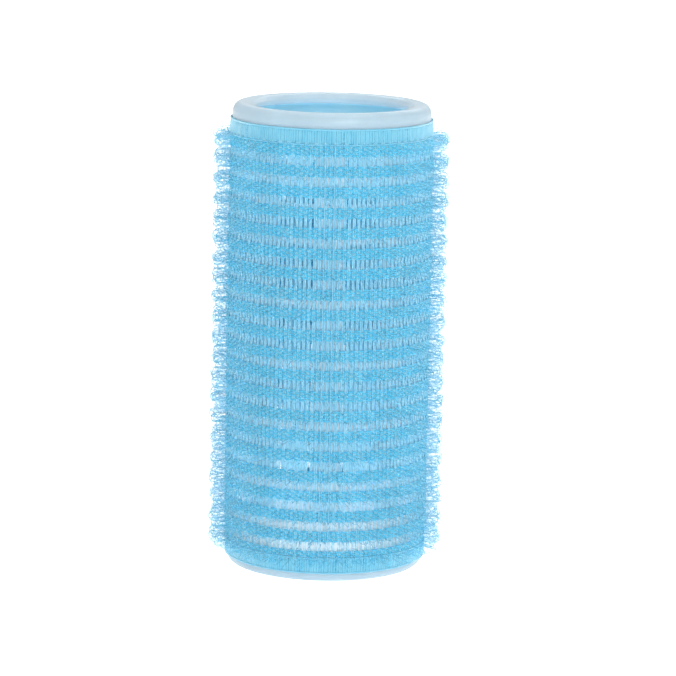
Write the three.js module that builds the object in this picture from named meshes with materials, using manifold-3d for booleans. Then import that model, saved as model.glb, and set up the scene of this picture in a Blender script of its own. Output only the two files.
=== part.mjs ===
// A self-grip hair roller: a moulded lattice tube inside a sleeve of woven hook tape.
// Millimetres, +Z up along the roller's axis, origin at the centre of the lower end face.
//
// The tape is woven with its length round the roller. Its warp yarns run round the roller in
// separate bands, one weft yarn runs up and down across all of them, and each band carries one
// row of nylon hooks. The tape's two cut ends meet at a welded seam.

import * as THREE from "three";
import { mergeVertices } from "three/addons/utils/BufferGeometryUtils.js";
import Module from "manifold-3d";

const wasm = await Module();
wasm.setup();

const degree = Math.PI / 180;

// Core tube
const coreLength = 63;
const coreRadius = 13.4;
const wallThickness = 1.0;
const lipOpeningRadius = 10.3;
const lipThickness = 0.9;
const lipDip = 0.45; // how far the opening's edge lies inside the end face
const lipLandRadius = 12; // where the flat end face begins to slope to the opening
const lipOuterFillet = 0.95;
const lipInnerFillet = 0.4;
const coreSegments = 36;
const filletSteps = 3;

// Windows in the core's wall
const strutCount = 9;
const strutPitch = 360 / strutCount;
const frontStrutAngle = -90;
const windowWidth = 5.4;
const windowHeight = 2.9;
const windowPitch = 4.16;
const windowRows = 12;
const lowestWindowCentre = 10.83;

// Tape: its edges, its bands and the gaps between them
const tapeBottom = 1.2;
const tapeTop = 61;
const bandCount = 21;
const bandPitch = 2.725;
const lowestBandCentre = 3.6;
const bandHeight = 1.45;
const ringChords = 24;

// Layers of the tape, from the core outwards. Each is clear of the next by its chords' sag.
const weftInnerRadius = 13.45;
const weftOuterRadius = 13.65;
const warpInnerRadius = 13.8;
const warpOuterRadius = 14.0;
const hookInnerRadius = 14.05;
const hookOuterRadius = 16.2;
const hookRowHeight = 1.9;

// Weft yarn: one serpentine that turns back at the tape's two selvedges
const weftPicks = 130;
const weftYarnWidth = 0.3;
const weftTurnHeight = 0.3;

// Seam
const seamAngle = 60;
const seamGap = 2.6;
const seamWeldWidth = 1.8;
const seamWeldOuterRadius = 13.9;

// Angle that a length of arc takes at the tape's radius.
const arcAngle = (arc) => arc / warpOuterRadius;
const tapeStart = seamAngle * degree + arcAngle(seamGap) / 2;
const tapeEnd = seamAngle * degree + 2 * Math.PI - arcAngle(seamGap) / 2;

const materials = {
  core: new THREE.MeshStandardMaterial({ color: 0xdfe8f0, roughness: 0.32, metalness: 0 }),
  weft: new THREE.MeshStandardMaterial({ color: 0xb5def2, roughness: 0.55, metalness: 0 }),
  warp: new THREE.MeshStandardMaterial({ color: 0x5fbfe8, roughness: 0.6, metalness: 0 }),
  hooks: new THREE.MeshStandardMaterial({ color: 0x74c8ec, roughness: 0.4, metalness: 0 }),
  weld: new THREE.MeshStandardMaterial({ color: 0x8ecdea, roughness: 0.45, metalness: 0 }),
};

function solidFrom(geometry) {
  const bare = geometry.clone();
  bare.deleteAttribute("normal");
  bare.deleteAttribute("uv");
  const merged = mergeVertices(bare, 1e-4);
  return new wasm.Manifold(
    new wasm.Mesh({
      numProp: 3,
      vertProperties: new Float32Array(merged.attributes.position.array),
      triVerts: new Uint32Array(merged.index.array),
    }),
  );
}

function geometryFrom(solid) {
  const { vertProperties, triVerts } = solid.getMesh();
  const geometry = new THREE.BufferGeometry();
  geometry.setAttribute("position", new THREE.BufferAttribute(vertProperties, 3));
  geometry.setIndex(new THREE.BufferAttribute(triVerts, 1));
  geometry.computeVertexNormals();
  return geometry;
}

function part(name, geometry, material) {
  const mesh = new THREE.Mesh(geometry, material);
  mesh.name = name;
  return mesh;
}

// Points of a fillet about (r, z), from one angle to another in degrees.
function fillet(r, z, radius, fromDegrees, toDegrees) {
  return Array.from({ length: filletSteps + 1 }, (_, i) => {
    const angle = THREE.MathUtils.lerp(fromDegrees, toDegrees, i / filletSteps) * degree;
    return new THREE.Vector2(r + radius * Math.cos(angle), z + radius * Math.sin(angle));
  });
}

// The core's section. Each end turns inwards to a rounded lip that dips towards the bore.
function coreProfile() {
  const innerRadius = coreRadius - wallThickness;
  const noseRadius = lipThickness / 2;
  const lipBottom = coreLength - lipDip - lipThickness;
  const upperLip = [
    ...fillet(innerRadius - lipInnerFillet, lipBottom - lipInnerFillet, lipInnerFillet, 0, 90),
    ...fillet(lipOpeningRadius + noseRadius, lipBottom + noseRadius, noseRadius, 270, 90),
    new THREE.Vector2(lipLandRadius, coreLength),
    ...fillet(coreRadius - lipOuterFillet, coreLength - lipOuterFillet, lipOuterFillet, 90, 0),
  ];
  const lowerLip = upperLip.map((p) => new THREE.Vector2(p.x, coreLength - p.y)).reverse();
  return [...upperLip, ...lowerLip, upperLip[0].clone()].reverse();
}

function coreTube() {
  const lathe = new THREE.LatheGeometry(coreProfile(), coreSegments).rotateX(Math.PI / 2);
  let tube = solidFrom(lathe);
  const midWall = coreRadius - wallThickness / 2;
  const cutter = new THREE.BoxGeometry(3 * wallThickness, windowWidth, windowHeight);
  for (let row = 0; row < windowRows; row += 1) {
    for (let column = 0; column < strutCount; column += 1) {
      const angle = frontStrutAngle + (column + 0.5) * strutPitch;
      const place = new THREE.Matrix4()
        .makeRotationZ(angle * degree)
        .multiply(
          new THREE.Matrix4().makeTranslation(midWall, 0, lowestWindowCentre + row * windowPitch),
        );
      tube = tube.subtract(solidFrom(cutter.clone().applyMatrix4(place)));
    }
  }
  return part("core_tube", geometryFrom(tube), materials.core);
}

// A wall along an arc round the roller's axis, standing from one height to another.
function arcWall(innerRadius, outerRadius, bottom, top, from, to, chords) {
  const section = new THREE.Shape();
  section.absarc(0, 0, outerRadius, from, to, false);
  section.absarc(0, 0, innerRadius, to, from, true);
  return new THREE.ExtrudeGeometry(section, {
    depth: top - bottom,
    bevelEnabled: false,
    curveSegments: chords / 2, // three.js gives an arc twice as many chords
  }).translate(0, 0, bottom);
}

// A ring of the tape, open at the seam.
function tapeRing(innerRadius, outerRadius, bottom, top) {
  return arcWall(innerRadius, outerRadius, bottom, top, tapeStart, tapeEnd, ringChords);
}

const bandCentre = (band) => lowestBandCentre + band * bandPitch;
const rowLabel = (band) => String(band + 1).padStart(2, "0");

// Bands of warp yarn, counted from the lower end. The first and last reach the tape's edges.
function warpBand(band) {
  const bottom = band === 0 ? tapeBottom : bandCentre(band) - bandHeight / 2;
  const top = band === bandCount - 1 ? tapeTop : bandCentre(band) + bandHeight / 2;
  const ring = tapeRing(warpInnerRadius, warpOuterRadius, bottom, top);
  return part(`warp_band_${rowLabel(band)}`, ring, materials.warp);
}

// The space that one row of hooks fills.
function hookRow(band) {
  const bottom = bandCentre(band) - hookRowHeight / 2;
  const ring = tapeRing(hookInnerRadius, hookOuterRadius, bottom, bottom + hookRowHeight);
  return part(`hook_row_${rowLabel(band)}`, ring, materials.hooks);
}

// The weft is drawn flat, with x as arc length round the roller, then wrapped round it.
function weftYarn() {
  const low = tapeBottom + 0.1;
  const high = tapeTop - 0.1;
  const tapeArc = (tapeEnd - tapeStart) * weftOuterRadius;
  const pitch = (tapeArc - weftYarnWidth) / (weftPicks - 1);
  const left = (pick) => pick * pitch;
  const right = (pick) => pick * pitch + weftYarnWidth;
  const there = [];
  const back = [];
  for (let pick = 0; pick < weftPicks; pick += 1) {
    const rising = pick % 2 === 0;
    const last = pick === weftPicks - 1;
    const first = pick === 0;
    // Outer side of each turn on one list, inner side on the other.
    if (rising) {
      there.push([left(pick), first ? low : low + weftTurnHeight], [left(pick), high]);
      back.push([right(pick), low], [right(pick), last ? high : high - weftTurnHeight]);
    } else {
      there.push([right(pick), high], [right(pick), last ? low : low + weftTurnHeight]);
      back.push([left(pick), high - weftTurnHeight], [left(pick), low]);
    }
  }
  const outline = new THREE.Shape([...there, ...back.reverse()].map(([x, y]) => new THREE.Vector2(x, y)));
  const flat = new THREE.ExtrudeGeometry(outline, {
    depth: weftOuterRadius - weftInnerRadius,
    bevelEnabled: false,
  });
  const position = flat.getAttribute("position");
  for (let i = 0; i < position.count; i += 1) {
    const angle = tapeStart + position.getX(i) / weftOuterRadius;
    const radius = weftInnerRadius + position.getZ(i);
    position.setXYZ(i, radius * Math.cos(angle), radius * Math.sin(angle), position.getY(i));
  }
  return part("weft_yarn", geometryFrom(solidFrom(flat)), materials.weft);
}

function seamWeld() {
  const half = arcAngle(seamWeldWidth) / 2;
  const from = seamAngle * degree - half;
  const to = seamAngle * degree + half;
  const strip = arcWall(weftInnerRadius, seamWeldOuterRadius, tapeBottom, tapeTop, from, to, 2);
  return part("seam_weld", strip, materials.weld);
}

const roller = new THREE.Group();
roller.add(coreTube(), weftYarn(), seamWeld());
for (let band = 0; band < bandCount; band += 1) roller.add(warpBand(band), hookRow(band));

export default roller;
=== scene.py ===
"""A self-grip hair roller: a moulded lattice core in a sleeve of woven hook tape.

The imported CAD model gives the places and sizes, and every piece here is made anew inside it: the
core with its rounded lips and windows, the weft and warp yarns that cross each other, the welded
seam and the rows of curled nylon hooks. Lengths in this file are millimetres unless a name says
otherwise, and meshes are scaled to metres when they are made.
"""

import math

import bmesh
import bpy
import numpy as np
from mathutils import Matrix, Vector


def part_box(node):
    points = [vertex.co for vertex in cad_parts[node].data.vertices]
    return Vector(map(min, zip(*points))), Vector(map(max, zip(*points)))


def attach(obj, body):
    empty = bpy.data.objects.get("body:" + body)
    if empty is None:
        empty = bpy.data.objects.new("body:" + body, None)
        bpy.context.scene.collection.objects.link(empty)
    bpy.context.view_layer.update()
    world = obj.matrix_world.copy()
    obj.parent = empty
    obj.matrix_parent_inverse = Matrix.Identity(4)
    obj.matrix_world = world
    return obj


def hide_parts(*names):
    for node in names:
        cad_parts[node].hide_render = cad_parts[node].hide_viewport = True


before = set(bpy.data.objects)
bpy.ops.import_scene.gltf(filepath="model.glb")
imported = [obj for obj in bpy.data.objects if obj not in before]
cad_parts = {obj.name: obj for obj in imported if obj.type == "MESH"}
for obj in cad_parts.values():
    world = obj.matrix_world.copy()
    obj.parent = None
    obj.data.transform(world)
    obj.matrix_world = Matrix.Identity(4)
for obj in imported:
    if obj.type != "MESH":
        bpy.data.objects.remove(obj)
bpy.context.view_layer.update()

MM = 0.001
TURN = 2 * math.pi

# Sizes read from the frame
core_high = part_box("core_tube")[1] / MM
weft_low, weft_high = (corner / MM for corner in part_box("weft_yarn"))
CORE_LENGTH = core_high.z
CORE_RADIUS = core_high.x
BAND_NAMES = sorted(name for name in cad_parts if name.startswith("warp_band_"))
HOOK_NAMES = sorted(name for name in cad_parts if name.startswith("hook_row_"))

# Core. Its wall, windows and opening are the CAD model's, and its curves are finer.
WALL = 1.0
LIP_OPENING_RADIUS = 10.3
LIP_THICKNESS = 0.9
LIP_DIP = 0.45
LIP_CREST_RADIUS = 12.3
STRUTS = 9
FRONT_STRUT = math.radians(-90)
WINDOW_WIDTH = 5.4
WINDOW_HEIGHT = 2.9
WINDOW_PITCH = 4.16
WINDOW_ROWS = 12
LOWEST_WINDOW = 10.83
WINDOW_CORNER = 0.35
RIM_DEPTH_OUTSIDE = 2.3
RIM_DEPTH_INSIDE = 2.0
LIP_FILLET = 0.5
LIP_SHOULDER_DEPTH = 1.4
FILLET_STEPS = 5
NOSE_STEPS = 9
CROWN_STEPS = 6
SHOULDER_STEPS = 9
STEPS_ACROSS_WINDOW = 8
STEPS_ACROSS_STRUT = 8
SHARP_EDGE = math.radians(50)
# Places in the core's list of materials: one plastic, with painted blue light on the struts and the inside
# and a painted glow on the plain wall between the windows
STRUT_PAINTED_BLUE_LIGHT, RIM_FINISH, INSIDE_PAINTED_BLUE_LIGHT, PLAIN_WALL_PAINTED_GLOW = range(4)

# Tape and its seam
TAPE_RADIUS = 14.0
SEAM_ANGLE = math.radians(60)
SEAM_GAP = 2.6
TAPE_START = SEAM_ANGLE + SEAM_GAP / TAPE_RADIUS / 2
TAPE_SPAN = TURN - SEAM_GAP / TAPE_RADIUS
WELD_WIDTH = 1.9
WELD_INNER_RADIUS = 13.45
WELD_EDGE_RADIUS = 13.62
WELD_CROWN = 0.22
WELD_LUMPS = 0.03
WELD_STEPS = (14, 240)

# Weave. Radii are those of the yarns' centre lines.
WEAVE_RADIUS = 13.68
WEAVE_WAVE = 0.08  # how far a yarn goes out and in as it passes over and under the others
SELVEDGE = 1.9  # height of the strip without hooks at each edge of the tape
SELVEDGE_LIFT = 1.2 * WEAVE_WAVE
EDGE_HUG = 0.22  # how much closer to the core the tape's two edges lie
EDGE_HUG_REACH = 2.5
YARN_SIDES = 6
# Places in the weft's and the warp's lists of materials. The weft's body copy carries painted light and its
# edge copy, at the selvedges and turns, painted shade; the warp's edge material is that of its border
# yarns.
BODY_SLOT, EDGE_SLOT = range(2)

# Weft: two strands, side by side. A pick is one run of the yarn up or down the tape.
PICKS = 130
PICK_SHIFT = -0.35
PICK_JITTER = 0.05
NO_YARN = -1  # stands for the warp yarn where a pick crosses a gap
WEFT_GAP_RADIUS = 13.56
WEFT_HALF_WIDTH = 0.1
WEFT_HALF_WIDTH_AT_EDGES = 0.187
WEFT_HALF_DEPTH = 0.075
WEFT_SPREAD_IN_BANDS = 0.22  # distance between the two strands' centre lines
WEFT_SPREAD_IN_GAPS = 0.2
WEFT_SPREAD_AT_EDGES = 0.3375
THINNING_REACH = 12  # above the lowest band, the height over which strands grow to their full width
THINNING_LIMITS = (0.05, 1)
TURN_RADIUS = 13.5
TURN_INSET = 0.08
FLOATING_PICKS = (75, 77)  # one strand of each passes over the bands
FLOAT_RADIUS = 13.86
FLOAT_HALF_WIDTH = 0.075

# Warp
WARP_HALF_WIDTH = 0.135
WARP_HALF_DEPTH = 0.085
WARP_YARN_PITCH = 0.28
WARP_STEPS_PER_PICK = 2
BORDER_YARN_RADIUS = 13.82

# Hooks
HOOKS_PER_ROW = 330
PILE_ENDS = 3  # lines of hooks in a row
PILE_END_SPACING = 0.32
PILE_END_STAGGER = 0.25
PILE_END_LEAN = 0.45
ROW_SLACK = 0.8
SEAM_MARGIN = 0.004
FILAMENT_RADIUS = 0.1
CRISP_RADIUS = 0.045
CRISP_SHARE = 0.3
HOOK_FOOT_RADIUS = 13.75
HOOK_HEIGHTS = (1.8, 2.35)
HOOK_BENDS = (0.45, 0.64)
HOOK_SWEEPS = (math.radians(190), math.radians(285))
HOOK_TAILS = (0.02, 0.15)
STEM_POINTS = 4
BEND_POINTS = 8
STUB_HEIGHTS = (0.5, 1.1)
STUB_POINTS = 3
STUB_DISTANCE = 2.1  # from a hook's foot, in radii of its bend
STRAY_SHARE = 0.05
# Share of filament ends that get painted shade, as dark dots
DARK_END_SHARE = 0.08
# Places in the hooks' list of materials; the second is painted shade for the ends of some filaments
SOFT_FINISH, END_PAINTED_SHADE, CRISP_FINISH = range(3)

# Random spreads of the hooks. Leans are slopes, and the twist is in radians.
PLACE_JITTER = 0.16  # in steps from one hook to the next
HEIGHT_JITTER = 0.06
LEAN_ROUND = 0.13
LEAN_UP = 0.12
STRAY_LEAN_UP = 0.35
TWIST = 0.38
STUB_LEAN = 0.12
SEED = 1423

# Camera
CAMERA_LENS = 190
CAMERA_PLACE = (0, -477.1, 118.0)
CAMERA_TARGET = (1.37, 0, 30.85)
CAMERA_ROLL = math.radians(1.11)

rng = np.random.default_rng(SEED)


# ---------------------------------------------------------------- camera, light and floor


def add_camera():
    camera = bpy.data.cameras.new("camera")
    camera.sensor_width = 36
    camera.lens = CAMERA_LENS
    camera.clip_start = 0.01
    camera.clip_end = 10
    holder = bpy.data.objects.new("camera", camera)
    bpy.context.scene.collection.objects.link(holder)
    place = Vector(CAMERA_PLACE) * MM
    target = Vector(CAMERA_TARGET) * MM
    turn = (target - place).to_track_quat("-Z", "Y").to_matrix().to_4x4()
    roll = Matrix.Rotation(CAMERA_ROLL, 4, "Z")
    holder.matrix_world = Matrix.Translation(place) @ turn @ roll
    bpy.context.scene.camera = holder


def add_softbox(name, place, target, size, watts):
    """A rectangular lamp. Its place, target and size are in metres."""
    light = bpy.data.lights.new(name, "AREA")
    light.shape = "RECTANGLE"
    light.size, light.size_y = size
    light.energy = watts
    holder = bpy.data.objects.new(name, light)
    bpy.context.scene.collection.objects.link(holder)
    holder.location = place
    holder.rotation_euler = (Vector(target) - Vector(place)).to_track_quat("-Z", "Y").to_euler()


def add_studio():
    world = bpy.data.worlds.new("studio")
    world.use_nodes = True
    background = world.node_tree.nodes["Background"]
    background.inputs["Color"].default_value = (1.0, 1.0, 1.0, 1)
    background.inputs["Strength"].default_value = 0.75
    scene = bpy.context.scene
    scene.world = world
    scene.view_settings.view_transform = "Standard"
    # Light passes through many yarns and hooks before it leaves the tape.
    scene.cycles.max_bounces = 20
    scene.cycles.diffuse_bounces = 10
    scene.cycles.transmission_bounces = 20
    scene.cycles.transparent_max_bounces = 32
    middle = (0, 0, 0.03)
    add_softbox("overhead_softbox", (0, 0.05, 0.6), middle, (0.5, 0.4), 1.2)
    add_softbox("front_softbox", (0.2, -0.8, 0.35), middle, (0.5, 0.4), 2.8)
    add_softbox("back_softbox", (0.15, 0.7, 0.45), middle, (0.6, 0.2), 0.7)
    # Inside the bore, these two stand for the light that the core's wall lets through from the white table.
    add_softbox("light_table", (0, 0, 0.0003), (0, 0, 1), (0.015, 0.015), 0.003)
    add_softbox("bore_light", (0, 0, 0.048), (0, 0, 1), (0.015, 0.015), 0.0018)


def add_floor():
    mesh = bpy.data.meshes.new("studio_floor")
    size = 3.0
    corners = [(-size, -size, 0), (size, -size, 0), (size, size, 0), (-size, size, 0)]
    mesh.from_pydata(corners, [], [(0, 1, 2, 3)])
    floor = bpy.data.objects.new("studio_floor", mesh)
    bpy.context.scene.collection.objects.link(floor)
    floor.data.materials.append(floor_material())


# ---------------------------------------------------------------- materials


def new_material(name):
    material = bpy.data.materials.new(name)
    material.use_nodes = True
    nodes = material.node_tree.nodes
    return material, nodes, material.node_tree.links, nodes["Principled BSDF"]


def object_noise(nodes, links, scale, detail=2.0):
    """Noise over the object's own space. Scale is in features per millimetre."""
    place = nodes.new("ShaderNodeTexCoord")
    mapping = nodes.new("ShaderNodeMapping")
    mapping.inputs["Scale"].default_value = (1 / MM, 1 / MM, 1 / MM)
    noise = nodes.new("ShaderNodeTexNoise")
    noise.inputs["Scale"].default_value = scale
    noise.inputs["Detail"].default_value = detail
    links.new(place.outputs["Object"], mapping.inputs["Vector"])
    links.new(mapping.outputs["Vector"], noise.inputs["Vector"])
    return noise.outputs["Fac"]


def colour_ramp(nodes, links, value, stops):
    """Stops are (position, (r, g, b)) from low to high."""
    ramp = nodes.new("ShaderNodeValToRGB")
    elements = ramp.color_ramp.elements
    while len(elements) < len(stops):
        elements.new(0.5)
    for element, (position, colour) in zip(elements, stops):
        element.position = position
        element.color = (*colour, 1)
    links.new(value, ramp.inputs["Fac"])
    return ramp.outputs["Color"]


def number_range(nodes, links, value, low, high):
    span = nodes.new("ShaderNodeMapRange")
    span.inputs["To Min"].default_value = low
    span.inputs["To Max"].default_value = high
    links.new(value, span.inputs["Value"])
    return span.outputs["Result"]


def add_bump(nodes, links, shader, height, strength, distance):
    bump = nodes.new("ShaderNodeBump")
    bump.inputs["Strength"].default_value = strength
    bump.inputs["Distance"].default_value = distance * MM
    links.new(height, bump.inputs["Height"])
    links.new(bump.outputs["Normal"], shader.inputs["Normal"])


def floor_material():
    material, nodes, links, shader = new_material("floor_paper")
    grain = object_noise(nodes, links, 0.05)
    colour = colour_ramp(nodes, links, grain, [(0.3, (0.93, 0.93, 0.93)), (0.7, (0.95, 0.95, 0.95))])
    links.new(colour, shader.inputs["Base Color"])
    shader.inputs["Roughness"].default_value = 0.9
    shader.inputs["Specular IOR Level"].default_value = 0.2
    shader.inputs["Emission Color"].default_value = (1, 1, 1, 1)
    shader.inputs["Emission Strength"].default_value = 0.62
    return material


def core_material(name, dark, light, see_through):
    """Natural polypropylene: milky, letting a soft image of what is behind it through."""
    material, nodes, links, shader = new_material(name)
    cloud = object_noise(nodes, links, 0.35, 3.0)
    colour = colour_ramp(nodes, links, cloud, [(0.25, dark), (0.75, light)])
    links.new(colour, shader.inputs["Base Color"])
    fine = object_noise(nodes, links, 2.2, 2.0)
    links.new(number_range(nodes, links, fine, 0.44, 0.52), shader.inputs["Roughness"])
    shader.inputs["IOR"].default_value = 1.49
    shader.inputs["Transmission Weight"].default_value = see_through
    shader.inputs["Subsurface Weight"].default_value = 0.8
    shader.inputs["Subsurface Radius"].default_value = (1.0, 1.0, 1.0)
    shader.inputs["Subsurface Scale"].default_value = 2 * MM
    shader.inputs["Coat Weight"].default_value = 0.3
    shader.inputs["Coat Roughness"].default_value = 0.1
    add_bump(nodes, links, shader, cloud, 0.15, 0.05)
    return material


def yarn_material(name, dark, light, see_through, roughness):
    """Drawn nylon yarn: fine filaments along it, slightly see-through."""
    material, nodes, links, shader = new_material(name)
    patches = object_noise(nodes, links, 0.9, 3.0)
    colour = colour_ramp(nodes, links, patches, [(0.3, dark), (0.7, light)])
    links.new(colour, shader.inputs["Base Color"])
    filaments = object_noise(nodes, links, 9.0, 2.0)
    sheen = number_range(nodes, links, filaments, roughness - 0.08, roughness + 0.08)
    links.new(sheen, shader.inputs["Roughness"])
    shader.inputs["Transmission Weight"].default_value = see_through
    shader.inputs["IOR"].default_value = 1.2
    add_bump(nodes, links, shader, filaments, 0.3, 0.02)
    return material


def hook_material(name, stops, opacity):
    """Light blue monofilament. Its opacity stands for how much light a filament stops."""
    material, nodes, links, shader = new_material(name)
    patches = object_noise(nodes, links, 0.8, 2.0)
    links.new(colour_ramp(nodes, links, patches, stops), shader.inputs["Base Color"])
    fine = object_noise(nodes, links, 4.0, 2.0)
    links.new(number_range(nodes, links, fine, 0.45, 0.6), shader.inputs["Roughness"])
    shader.inputs["Alpha"].default_value = opacity
    shader.inputs["IOR"].default_value = 1.15
    return material


def end_shade_material():
    """Painted shade on the ends of some of the filaments: the dark dots among the hooks, darker than the
    filaments' sides.
    """
    material, nodes, links, shader = new_material("filament_end_painted_shade")
    patches = object_noise(nodes, links, 3.0)
    stops = [(0.3, (0.03, 0.18, 0.28)), (0.7, (0.08, 0.32, 0.46))]
    links.new(colour_ramp(nodes, links, patches, stops), shader.inputs["Base Color"])
    shader.inputs["Roughness"].default_value = 0.5
    return material


# ---------------------------------------------------------------- meshes


def wrapped(angle, radius, height):
    """Points at an angle round the roller, a radius and a height, which broadcast together."""
    angle, radius, height = np.broadcast_arrays(angle, radius, height)
    return np.stack([radius * np.cos(angle), radius * np.sin(angle), height], axis=-1)


def unit(vectors):
    return vectors / np.linalg.norm(vectors, axis=-1, keepdims=True)


def radial_directions(points):
    out = points.copy()
    out[..., 2] = 0
    return unit(out)


def tube_mesh(points, up, half_width, half_depth, sides):
    """Tubes along many paths of equally many points.

    points is (tubes, steps, 3). up is the direction at each point in which the section is half_depth
    high, and half_width is its other half size. Returns vertices, quads and the end faces.
    """
    tubes, steps, _ = points.shape
    along = unit(np.gradient(points, axis=1))
    across = unit(np.cross(along, up))
    upright = np.cross(across, along)
    turn = np.arange(sides) * TURN / sides
    width = np.broadcast_to(half_width, (tubes, steps))[..., None, None]
    depth = np.broadcast_to(half_depth, (tubes, steps))[..., None, None]
    ring = (
        points[:, :, None]
        + across[:, :, None] * width * np.cos(turn)[None, None, :, None]
        + upright[:, :, None] * depth * np.sin(turn)[None, None, :, None]
    )
    first = (np.arange(tubes) * steps * sides)[:, None, None]
    near = first + (np.arange(steps - 1) * sides)[None, :, None]
    far = near + sides
    side = np.arange(sides)[None, None, :]
    following = (side + 1) % sides
    quads = np.stack([near + side, near + following, far + following, far + side], axis=-1).reshape(-1, 4)
    start = first[:, 0] + np.arange(sides)[None, ::-1]
    end = first[:, 0] + (steps - 1) * sides + np.arange(sides)[None, :]
    return ring.reshape(-1, 3), quads, start.reshape(-1, sides), end.reshape(-1, sides)


def make_piece(name, vertices, face_groups, replaces, materials):
    """A mesh object from vertices in millimetres. face_groups is a list of (faces, material index)."""
    mesh = bpy.data.meshes.new(name)
    sizes = np.concatenate([np.full(len(faces), faces.shape[1]) for faces, _ in face_groups])
    corners = np.concatenate([faces.ravel() for faces, _ in face_groups])
    slots = np.concatenate([np.full(len(faces), index) for faces, index in face_groups])
    mesh.vertices.add(len(vertices))
    mesh.vertices.foreach_set("co", (vertices * MM).astype(np.float32).ravel())
    mesh.loops.add(len(corners))
    mesh.loops.foreach_set("vertex_index", corners.astype(np.int32))
    mesh.polygons.add(len(sizes))
    mesh.polygons.foreach_set("loop_start", np.concatenate([[0], np.cumsum(sizes)[:-1]]).astype(np.int32))
    mesh.polygons.foreach_set("material_index", slots.astype(np.int32))
    mesh.polygons.foreach_set("use_smooth", np.full(len(sizes), True))
    mesh.update(calc_edges=True)
    mesh.validate()
    piece = bpy.data.objects.new(name, mesh)
    bpy.context.scene.collection.objects.link(piece)
    for material in materials:
        mesh.materials.append(material)
    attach(piece, "root")
    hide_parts(*replaces)


# ---------------------------------------------------------------- core


def arc(centre, radii, from_degrees, to_degrees, steps):
    angles = np.radians(np.linspace(from_degrees, to_degrees, steps + 1))
    return [(centre[0] + radii[0] * math.cos(a), centre[1] + radii[1] * math.sin(a)) for a in angles]


def lip_profile():
    """The upper end's section, from inside the wall over the lip to the outside, as (radius, height)."""
    inner = CORE_RADIUS - WALL
    nose = LIP_THICKNESS / 2
    underside = CORE_LENGTH - LIP_DIP - LIP_THICKNESS
    fillet = (LIP_FILLET, LIP_FILLET)
    crown = (LIP_CREST_RADIUS - LIP_OPENING_RADIUS - nose, LIP_DIP)
    shoulder = (CORE_RADIUS - LIP_CREST_RADIUS, LIP_SHOULDER_DEPTH)
    return [
        (inner, CORE_LENGTH - RIM_DEPTH_INSIDE),
        *arc((inner - LIP_FILLET, underside - LIP_FILLET), fillet, 0, 90, FILLET_STEPS),
        *arc((LIP_OPENING_RADIUS + nose, underside + nose), (nose, nose), 270, 110, NOSE_STEPS),
        *arc((LIP_CREST_RADIUS, CORE_LENGTH - LIP_DIP), crown, 165, 95, CROWN_STEPS),
        *arc((LIP_CREST_RADIUS, CORE_LENGTH - LIP_SHOULDER_DEPTH), shoulder, 90, 0, SHOULDER_STEPS),
        (CORE_RADIUS, CORE_LENGTH - RIM_DEPTH_OUTSIDE),
    ]


def window_edges():
    """Heights of the windows' edges, from the lowest up."""
    centres = LOWEST_WINDOW + WINDOW_PITCH * np.arange(WINDOW_ROWS)
    return np.stack([centres - WINDOW_HEIGHT / 2, centres + WINDOW_HEIGHT / 2], axis=1)


def core_angles():
    """Angles of the core's mesh lines, and whether each step to the next line crosses a window."""
    half = WINDOW_WIDTH / CORE_RADIUS / 2
    pitch = TURN / STRUTS
    angles = []
    open_steps = []
    for strut in range(STRUTS):
        middle = FRONT_STRUT + strut * pitch
        strut_start = middle - pitch / 2 + half
        strut_end = middle + pitch / 2 - half
        angles.extend(np.linspace(strut_start, strut_end, STEPS_ACROSS_STRUT + 1)[:-1])
        open_steps.extend([False] * STEPS_ACROSS_STRUT)
        angles.extend(np.linspace(strut_end, strut_end + 2 * half, STEPS_ACROSS_WINDOW + 1)[:-1])
        open_steps.extend([True] * STEPS_ACROSS_WINDOW)
    return np.array(angles), open_steps


def core_section():
    """The wall's section as one closed loop of (radius, height) rows, and where its stretches end.

    The loop runs down the outside, round the lower lip, up the inside and over the upper lip.
    """
    heights = window_edges().ravel()
    upper_lip = lip_profile()
    lower_lip = [(radius, CORE_LENGTH - height) for radius, height in reversed(upper_lip)]
    outside = [(CORE_RADIUS, height) for height in heights[::-1]]
    inside = [(CORE_RADIUS - WALL, height) for height in heights]
    outside_end = len(outside)
    inside_start = outside_end + len(lower_lip)
    inside_end = inside_start + len(inside)
    return np.array(outside + lower_lip + inside + upper_lip), (outside_end, inside_start, inside_end)


def core_material_slot(row, rows, ends):
    """The place in the core's list of materials, and so the painted light if any, of the faces between a
    row of the section and the next one.
    """
    outside_end, inside_start, inside_end = ends
    # The inside's painted blue light also covers the fillet under the upper lip, where it paints light into
    # the lip's shade.
    lip_start = inside_end + FILLET_STEPS + 2
    if inside_start <= row < lip_start:
        return INSIDE_PAINTED_BLUE_LIGHT
    if outside_end <= row < rows - 1:
        return RIM_FINISH
    between_windows = row % 2 == 1
    return PLAIN_WALL_PAINTED_GLOW if between_windows or row == rows - 1 else STRUT_PAINTED_BLUE_LIGHT


def add_core_walls(builder, at, open_steps, rows, ends):
    """The faces round the core, all but those that the windows take away."""
    outside_end, inside_start, inside_end = ends
    for column, is_open in enumerate(open_steps):
        for row in range(rows):
            outside_window = row < outside_end - 1 and row % 2 == 0
            inside_window = inside_start <= row < inside_end - 1 and (row - inside_start) % 2 == 0
            if is_open and (outside_window or inside_window):
                continue
            corners = ((column, row), (column, row + 1), (column + 1, row + 1), (column + 1, row))
            face = builder.faces.new([at(*corner) for corner in corners])
            face.material_index = core_material_slot(row, rows, ends)


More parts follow.
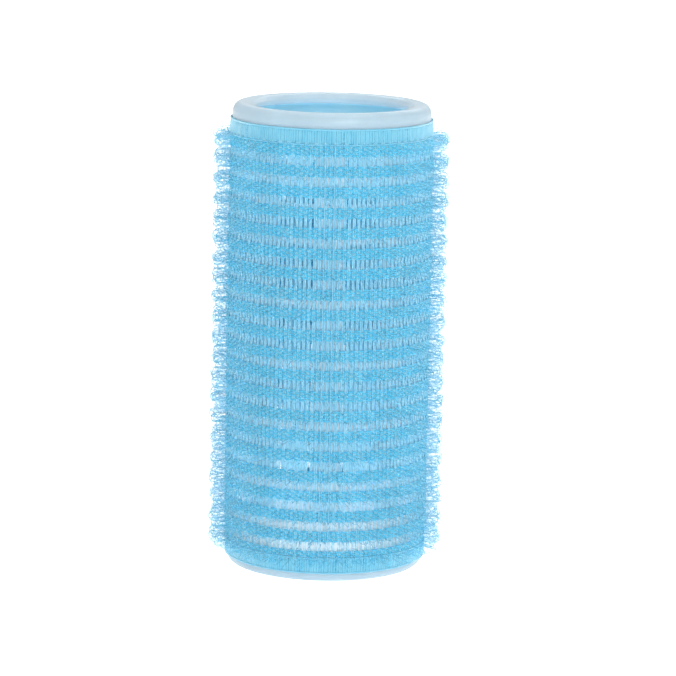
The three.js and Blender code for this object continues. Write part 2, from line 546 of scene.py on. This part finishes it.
def add_window_sides(builder, at, open_steps, ends):
    """The faces through the wall at the windows' upper and lower edges, and at their two sides."""
    outside_end, _, inside_end = ends
    for column, is_open in enumerate(open_steps):
        if is_open:
            for row in range(outside_end):
                twin = inside_end - 1 - row
                corners = ((column, row), (column + 1, row), (column + 1, twin), (column, twin))
                builder.faces.new([at(*corner) for corner in corners])
    for column, is_open in enumerate(open_steps):
        if is_open != open_steps[column - 1]:
            for row in range(0, outside_end, 2):
                twin = inside_end - 1 - row
                corners = ((column, row), (column, row + 1), (column, twin - 1), (column, twin))
                builder.faces.new([at(*corner) for corner in corners])


def round_sharp_edges(builder):
    bmesh.ops.recalc_face_normals(builder, faces=builder.faces)
    sharp = [
        edge
        for edge in builder.edges
        if len(edge.link_faces) == 2 and edge.calc_face_angle(0) > SHARP_EDGE
    ]
    bmesh.ops.bevel(builder, geom=sharp, offset=WINDOW_CORNER * MM, segments=3, profile=0.5, affect="EDGES")


def add_core():
    section, ends = core_section()
    angles, open_steps = core_angles()
    rows = len(section)
    vertices = wrapped(angles[:, None], section[None, :, 0], section[None, :, 1]).reshape(-1, 3)
    builder = bmesh.new()
    points = [builder.verts.new(vertex * MM) for vertex in vertices]

    def at(column, row):
        return points[column % len(angles) * rows + row % rows]

    add_core_walls(builder, at, open_steps, rows, ends)
    add_window_sides(builder, at, open_steps, ends)
    round_sharp_edges(builder)
    mesh = bpy.data.meshes.new("core")
    builder.to_mesh(mesh)
    builder.free()
    mesh.shade_smooth()
    # One plastic in copies: the struts and the inside carry painted blue light from the tape, and the plain
    # wall between the windows carries a painted glow of light coming through it.
    for name, dark, light, see_through in (
        ("polypropylene_struts_painted_blue_light", (0.57, 0.82, 0.96), (0.64, 0.87, 1.0), 0.3),
        ("polypropylene_rim", (0.41, 0.54, 0.62), (0.46, 0.6, 0.68), 0.2),
        ("polypropylene_inside_painted_blue_light", (0.36, 0.69, 0.84), (0.46, 0.76, 0.88), 0.3),
        ("polypropylene_plain_wall_painted_glow", (0.8, 0.93, 0.99), (0.88, 0.97, 1.0), 0.3),
    ):
        mesh.materials.append(core_material(name, dark, light, see_through))
    core = bpy.data.objects.new("core", mesh)
    bpy.context.scene.collection.objects.link(core)
    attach(core, "root")
    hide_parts("core_tube")


# ---------------------------------------------------------------- tape


def band_heights():
    """(bottom, top) of each band of warp yarns, from the lowest up."""
    boxes = [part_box(name) for name in BAND_NAMES]
    return [(low.z / MM, high.z / MM) for low, high in boxes]


def edge_hug(heights):
    """How much closer to the core the tape lies towards its two edges."""
    distance = np.minimum(np.abs(heights - weft_low.z), np.abs(weft_high.z - heights))
    return EDGE_HUG * np.exp(-distance / EDGE_HUG_REACH)


def warp_yarn_heights(bottom, top):
    count = round((top - bottom) / WARP_YARN_PITCH)
    return np.linspace(bottom + WARP_HALF_WIDTH, top - WARP_HALF_WIDTH, count)


def pick_angles():
    place = np.arange(PICKS) + 0.5 + PICK_SHIFT + rng.normal(0, PICK_JITTER, PICKS)
    return TAPE_START + TAPE_SPAN * place / PICKS


def weft_crossings(bands):
    """Heights of the points of a pick's path, and the warp yarn crossed at each, or NO_YARN in a gap."""
    heights = []
    crossings = []
    count = 0
    for band, (bottom, top) in enumerate(bands):
        yarns = warp_yarn_heights(bottom, top)
        heights.extend(yarns)
        crossings.extend(range(count, count + len(yarns)))
        count += len(yarns)
        if band + 1 < len(bands):
            heights.append((top + bands[band + 1][0]) / 2)
            crossings.append(NO_YARN)
    return np.array(heights), np.array(crossings)


def weft_radii(heights, crossings, gap, selvedge):
    """Radius of every pick at every height. Picks go over and under the warp, and over it at the edges."""
    over = np.where((np.arange(PICKS)[:, None] + crossings[None]) % 2 == 0, 1.0, -1.0)
    radius = np.where(gap[None], WEFT_GAP_RADIUS, WEAVE_RADIUS + WEAVE_WAVE * over)
    radius = np.where(selvedge[None], WEAVE_RADIUS + SELVEDGE_LIFT, radius)
    return np.maximum(radius - edge_hug(heights)[None], CORE_RADIUS + WEFT_HALF_DEPTH)


def weft_half_widths(heights, gap, selvedge, lowest_gap):
    """Half widths of a strand, which is thinner in the lowest gaps and flattened at the edges."""
    thinning = np.clip((heights - lowest_gap) / THINNING_REACH, *THINNING_LIMITS)
    half_width = np.where(gap, WEFT_HALF_WIDTH * thinning, WEFT_HALF_WIDTH)
    return np.where(selvedge, WEFT_HALF_WIDTH_AT_EDGES, half_width)


def serpentine(pick_values, turn_values):
    """Values along the whole yarn: those of one pick after another, with the turns between them.

    Each pick's values are given from the bottom up, and the yarn comes down every second pick.
    """
    joined = [pick_values[0]]
    for pick in range(1, PICKS):
        climbing = pick % 2 == 0
        joined.append(turn_values[pick - 1])
        joined.append(pick_values[pick] if climbing else pick_values[pick][::-1])
    return np.concatenate(joined)


def add_weft(bands):
    """One yarn of two strands, which runs up and down the tape and turns at its edges."""
    heights, crossings = weft_crossings(bands)
    gap = crossings == NO_YARN
    edge = (heights < bands[0][0] + SELVEDGE) | (heights > bands[-1][1] - SELVEDGE)
    selvedge = edge & ~gap
    in_bands = np.where(edge, WEFT_SPREAD_AT_EDGES, WEFT_SPREAD_IN_BANDS)
    spread = np.where(gap, WEFT_SPREAD_IN_GAPS, in_bands)
    radius = weft_radii(heights, crossings, gap, selvedge)
    half_width = weft_half_widths(heights, gap, selvedge, bands[0][1])
    angles = pick_angles()
    picks = np.arange(PICKS)
    half_pitch = TAPE_SPAN / PICKS / 2
    turn_heights = np.where(picks % 2 == 0, weft_high.z - TURN_INSET, weft_low.z + TURN_INSET)
    turns = wrapped(angles + half_pitch, TURN_RADIUS, turn_heights)[:, None]
    turn_widths = np.full((PICKS, 1), WEFT_HALF_WIDTH_AT_EDGES)
    at_edge = serpentine(np.tile(edge, (PICKS, 1)), np.full((PICKS, 1), True))
    materials = [
        # Two copies of one weft yarn: the lighter with painted light for the gaps, where light shines
        # through the strands, the darker with painted shade for the selvedges and turns.
        yarn_material("weft_nylon_painted_light", (0.34, 0.71, 0.87), (0.43, 0.77, 0.9), 0.3, 0.45),
        yarn_material("selvedge_nylon_painted_shade", (0.2, 0.59, 0.78), (0.27, 0.66, 0.82), 0.3, 0.45),
    ]
    for strand, side, floating_picks in (("a", -1, FLOATING_PICKS), ("b", 1, ())):
        floating = np.isin(picks, floating_picks)[:, None] & ~edge & ~gap
        angle = angles[:, None] + side * spread / 2 / WEAVE_RADIUS
        paths = wrapped(angle, np.where(floating, FLOAT_RADIUS, radius), heights)
        widths = np.where(floating, FLOAT_HALF_WIDTH, half_width)
        points = serpentine(paths, turns)[None]
        width = serpentine(widths, turn_widths)[None]
        vertices, quads, start, end = tube_mesh(
            points, radial_directions(points), width, WEFT_HALF_DEPTH, YARN_SIDES
        )
        quads_at_edge = np.repeat(at_edge[1:], YARN_SIDES)
        groups = [(quads[~quads_at_edge], BODY_SLOT), (quads[quads_at_edge], EDGE_SLOT)]
        groups += [(start, EDGE_SLOT), (end, EDGE_SLOT)]
        make_piece(f"weft_strand_{strand}", vertices, groups, ["weft_yarn"], materials)


def border_yarns(heights):
    """Which yarns edge the two selvedges: the tape's outermost yarns and those next to the hooks."""
    border = np.zeros(len(heights), bool)
    for edge, inward in ((weft_low.z, 1), (weft_high.z, -1)):
        for place in (edge, edge + inward * SELVEDGE):
            border |= np.abs(heights - place) < WARP_YARN_PITCH / 2
    return border


def add_warp_band(index, bottom, top, first_yarn, materials):
    """The warp yarns of one band, each a ring that is open at the seam."""
    heights = warp_yarn_heights(bottom, top)
    border = border_yarns(heights)
    place = np.linspace(0, PICKS, PICKS * WARP_STEPS_PER_PICK + 1)
    angles = TAPE_START + TAPE_SPAN * place / PICKS
    yarn = first_yarn + np.arange(len(heights))
    wave = np.sin(math.pi * place[None] + math.pi * (yarn[:, None] + 1))
    radius = np.where(border[:, None], BORDER_YARN_RADIUS, WEAVE_RADIUS + WEAVE_WAVE * wave)
    radius = np.maximum(radius - edge_hug(heights)[:, None], CORE_RADIUS + WARP_HALF_DEPTH)
    points = wrapped(angles[None], radius, heights[:, None])
    vertices, quads, start, end = tube_mesh(
        points, radial_directions(points), WARP_HALF_WIDTH, WARP_HALF_DEPTH, YARN_SIDES
    )
    quads_on_border = np.repeat(border, len(quads) // len(heights))
    groups = [(quads[~quads_on_border], BODY_SLOT), (quads[quads_on_border], EDGE_SLOT)]
    groups += [(start, BODY_SLOT), (end, BODY_SLOT)]
    make_piece(f"warp_{index + 1:02d}", vertices, groups, [BAND_NAMES[index]], materials)
    return len(heights)


def slab_faces(across, along):
    """Quads of a slab, from a grid of points on its upper side and as many again on its underside."""
    over = np.arange((across + 1) * (along + 1)).reshape(across + 1, along + 1)
    under = over + over.size
    upper = np.stack([over[:-1, :-1], over[1:, :-1], over[1:, 1:], over[:-1, 1:]], -1)
    lower = np.stack([under[:-1, :-1], under[:-1, 1:], under[1:, 1:], under[1:, :-1]], -1)
    faces = [upper.reshape(-1, 4), lower.reshape(-1, 4)]
    for line, low_line, flip in (
        (over[0], under[0], False),
        (over[-1], under[-1], True),
        (over[:, 0], under[:, 0], True),
        (over[:, -1], under[:, -1], False),
    ):
        rim = np.stack([line[:-1], line[1:], low_line[1:], low_line[:-1]], -1)
        faces.append(rim[:, ::-1] if flip else rim)
    return np.concatenate(faces)


def add_seam_weld(bottom, top):
    """The melted strip that closes the sleeve, with a slightly uneven surface."""
    across, along = WELD_STEPS
    place = np.linspace(-0.5, 0.5, across + 1)
    angle = SEAM_ANGLE + place * WELD_WIDTH / TAPE_RADIUS
    height = np.linspace(bottom, top, along + 1)
    crown = 1 - (2 * np.abs(place)) ** 4
    lumps = rng.normal(0, 1, (across + 1, along + 1))
    outer = WELD_EDGE_RADIUS + (WELD_CROWN + WELD_LUMPS * lumps) * crown[:, None]
    outer_points = wrapped(angle[:, None], outer, height[None]).reshape(-1, 3)
    inner_points = wrapped(angle[:, None], WELD_INNER_RADIUS, height[None]).reshape(-1, 3)
    vertices = np.concatenate([outer_points, inner_points])
    faces = slab_faces(across, along)
    material = yarn_material("welded_nylon", (0.4, 0.74, 0.9), (0.62, 0.86, 0.95), 0.3, 0.35)
    make_piece("weld", vertices, [(faces, 0)], ["seam_weld"], [material])


def hook_outline(heights, bends, sweeps, tails):
    """Centre lines of hooks in their own planes: a straight stem, a bend over the top and a short tail.

    Returns (hooks, steps, 2) as distance sideways and height.
    """
    stem = np.linspace(0, 1, STEM_POINTS)[None, :, None]
    turn = np.linspace(0, 1, BEND_POINTS)[None, 1:]
    shoulder = heights - bends
    stem_points = np.stack([np.zeros_like(heights), shoulder], -1)[:, None] * stem
    angles = math.pi - turn * sweeps[:, None]
    bend = bends[:, None]
    bend_points = np.stack([bend + bend * np.cos(angles), shoulder[:, None] + bend * np.sin(angles)], -1)
    last = angles[:, -1]
    onward = np.stack([np.sin(last), -np.cos(last)], -1)
    tail_points = bend_points[:, -1:] + (onward * tails[:, None])[:, None]
    return np.concatenate([stem_points, bend_points, tail_points], axis=1)


def stand_up(outline, feet, outward, sideways):
    """Outlines in a plane, stood at their feet with height along outward and distance along sideways."""
    return (
        feet[:, None]
        + outline[..., :1] * sideways[:, None]
        + outline[..., 1:] * outward[:, None]
    )


def hook_frames(count, middle):
    """Feet and directions of one row's hooks: mostly upright, bent round the roller, some askew."""
    per_end = count // PILE_ENDS
    end = np.repeat(np.arange(PILE_ENDS), per_end)
    place = np.tile(np.arange(per_end) + 0.5, PILE_ENDS) + PILE_END_STAGGER * end
    place = place + rng.normal(0, PLACE_JITTER, len(end))
    place = np.clip(place / (per_end + ROW_SLACK), SEAM_MARGIN, 1 - SEAM_MARGIN)
    spread = (end - (PILE_ENDS - 1) / 2) * PILE_END_SPACING
    height = middle + spread + rng.normal(0, HEIGHT_JITTER, len(end))
    feet = wrapped(TAPE_START + TAPE_SPAN * place, HOOK_FOOT_RADIUS, height)
    radial = radial_directions(feet)
    axial = np.array([0.0, 0.0, 1.0])
    round_way = np.cross(axial, radial)
    lean_round = rng.normal(0, LEAN_ROUND, len(end))[:, None]
    lean_up = np.where(rng.random(len(end)) < STRAY_SHARE, STRAY_LEAN_UP, LEAN_UP)
    lean_up = (spread * PILE_END_LEAN + rng.normal(0, 1, len(end)) * lean_up)[:, None]
    outward = unit(radial + lean_round * round_way + lean_up * axial)
    twist = rng.normal(0, TWIST, len(end))[:, None]
    facing = rng.choice([-1.0, 1.0], len(end))[:, None]
    sideways = facing * (np.cos(twist) * axial + np.sin(twist) * round_way)
    sideways = unit(sideways - (sideways * outward).sum(-1, keepdims=True) * outward)
    return feet, outward, sideways


def hook_row_paths(middle):
    """Centre lines of one row's hooks and of the cut stubs beside them, and the hooks' normals."""
    feet, outward, sideways = hook_frames(HOOKS_PER_ROW, middle)
    count = len(feet)
    heights = rng.uniform(*HOOK_HEIGHTS, count)
    bends = rng.uniform(*HOOK_BENDS, count)
    feet = feet - sideways * bends[:, None]
    sweeps = rng.uniform(*HOOK_SWEEPS, count)
    tails = rng.uniform(*HOOK_TAILS, count)
    hooks = stand_up(hook_outline(heights, bends, sweeps, tails), feet, outward, sideways)
    stub_feet = feet + sideways * (STUB_DISTANCE * bends)[:, None]
    stub_lean = unit(outward + rng.normal(0, STUB_LEAN, (count, 3)))
    stub_heights = rng.uniform(*STUB_HEIGHTS, count)[:, None, None]
    along_stub = np.linspace(0, 1, STUB_POINTS)[None, :, None]
    stubs = stub_feet[:, None] + stub_lean[:, None] * stub_heights * along_stub
    return hooks, stubs, np.cross(sideways, outward)


def add_hook_row(index, bottom, top, materials):
    hooks, stubs, normal = hook_row_paths((bottom + top) / 2)
    count = len(hooks)
    dark = rng.random(count) < DARK_END_SHARE
    crisp = rng.random(count) < CRISP_SHARE
    radius = np.where(crisp, CRISP_RADIUS, FILAMENT_RADIUS)[:, None]
    vertices = []
    groups = []
    made_before = 0
    for paths in (hooks, stubs):
        up = np.broadcast_to(normal[:, None], paths.shape)
        made, quads, start, end = tube_mesh(paths, up, radius, radius, YARN_SIDES)
        crisp_quads = np.repeat(crisp, len(quads) // count)
        faces = [(quads[~crisp_quads], SOFT_FINISH), (quads[crisp_quads], CRISP_FINISH)]
        faces += [(start, SOFT_FINISH), (end[~dark], SOFT_FINISH), (end[dark], END_PAINTED_SHADE)]
        groups.extend((corners + made_before, finish) for corners, finish in faces)
        vertices.append(made)
        made_before += len(made)
    vertices = np.concatenate(vertices)
    make_piece(f"hooks_{index + 1:02d}", vertices, groups, [HOOK_NAMES[index]], materials)


def add_tape():
    bands = band_heights()
    add_weft(bands)
    warp = [
        yarn_material("warp_nylon", (0.11, 0.57, 0.79), (0.17, 0.65, 0.85), 0.25, 0.5),
        yarn_material("border_nylon", (0.2, 0.59, 0.78), (0.28, 0.66, 0.83), 0.3, 0.45),
    ]
    yarns = 0
    for index, (bottom, top) in enumerate(bands):
        yarns += add_warp_band(index, bottom, top, yarns, warp)
    add_seam_weld(bands[0][0], bands[-1][1])
    soft = [(0.3, (0.04, 0.46, 0.7)), (0.55, (0.08, 0.54, 0.78)), (0.75, (0.19, 0.66, 0.88))]
    crisp = [(0.3, (0.15, 0.46, 0.62)), (0.55, (0.2, 0.53, 0.68)), (0.75, (0.31, 0.64, 0.78))]
    hooks = [
        hook_material("soft_filament", soft, 0.11),
        end_shade_material(),
        hook_material("crisp_filament", crisp, 0.38),
    ]
    for index, name in enumerate(HOOK_NAMES):
        low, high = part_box(name)
        add_hook_row(index, low.z / MM, high.z / MM, hooks)


add_camera()
add_studio()
add_floor()
add_core()
add_tape()
